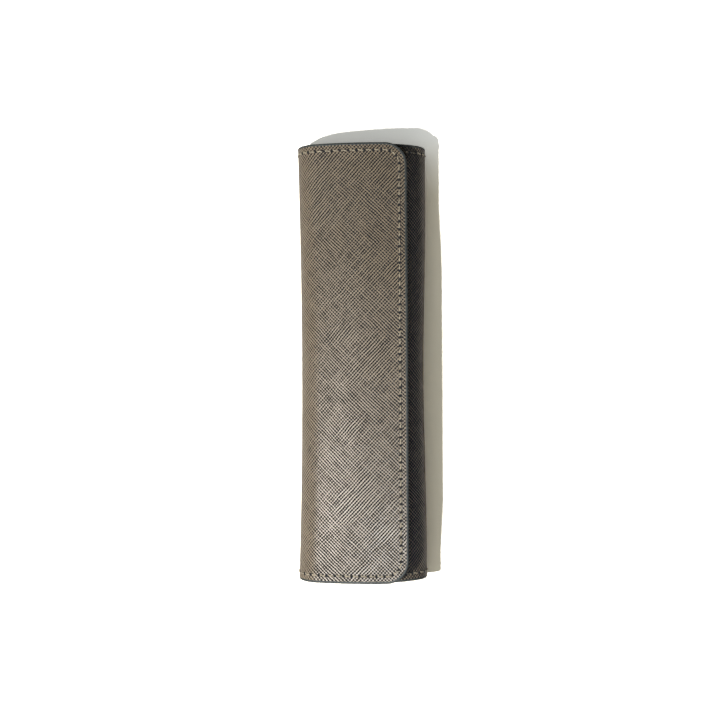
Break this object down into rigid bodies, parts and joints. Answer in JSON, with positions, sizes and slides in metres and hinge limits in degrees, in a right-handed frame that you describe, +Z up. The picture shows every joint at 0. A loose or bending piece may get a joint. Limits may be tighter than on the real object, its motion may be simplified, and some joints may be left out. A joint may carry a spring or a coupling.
{
  "type": "pen sleeve",
  "caption": "Slim leather sleeve that wraps round a pen: open at both ends, with an overlapping flap that folds back over a formed front panel.",
  "frame": {"origin": "on the resting face, below the middle of the sleeve", "axes": "+X across the sleeve to the folded right side, +Y along it, +Z up out of the flap"},
  "size_m": [0.0484, 0.165, 0.02],
  "materials": {
    "saffiano_leather": "cross-grained, coated, semi-gloss",
    "stiffening_board": "bonded leather board, matte",
    "lining_leather": "smooth, matte",
    "edge_paint": "burnished edge paint, satin",
    "thread": "waxed polyester thread",
    "magnet": "nickel plated"
  },
  "bodies": {
    "back": {"back_leather": "saffiano_leather", "back_board": "stiffening_board", "back_lining": "lining_leather", "back_edge_paint": "edge_paint", "back_stitching": "thread", "pen_tunnel": "lining_leather", "tunnel_stitching": "thread"},
    "spine": {"spine_leather": "saffiano_leather", "spine_board": "stiffening_board", "spine_lining": "lining_leather", "spine_edge_paint": "edge_paint", "spine_stitching": "thread"},
    "flap": {"flap_leather": "saffiano_leather", "flap_board": "stiffening_board", "flap_lining": "lining_leather", "flap_edge_paint": "edge_paint", "flap_stitching": "thread", "flap_magnets": "magnet"},
    "front": {"front_leather": "saffiano_leather", "front_board": "stiffening_board", "front_lining": "lining_leather", "front_edge_paint": "edge_paint", "front_stitching": "thread", "front_magnets": "magnet"}
  },
  "joints": [
    {"name": "spine_fold", "type": "hinge", "parent": "back", "child": "spine", "pos_m": [-0.02235, 0, 0.00185], "axis": [0, -1, 0], "range_deg": [0, 90]},
    {"name": "flap_fold", "type": "hinge", "parent": "spine", "child": "flap", "pos_m": [-0.02145, 0, 0.01425], "axis": [0, -1, 0], "range_deg": [0, 80]},
    {"name": "front_fold", "type": "hinge", "parent": "back", "child": "front", "pos_m": [0.0242, 0, 0.0055], "axis": [0, 1, 0], "range_deg": [0, 85]}
  ],
  "couplings": [
    {"joint": "spine_fold", "follows": "flap_fold", "ratio": 1.125},
    {"joint": "front_fold", "follows": "flap_fold", "ratio": 1.0625}
  ]
}
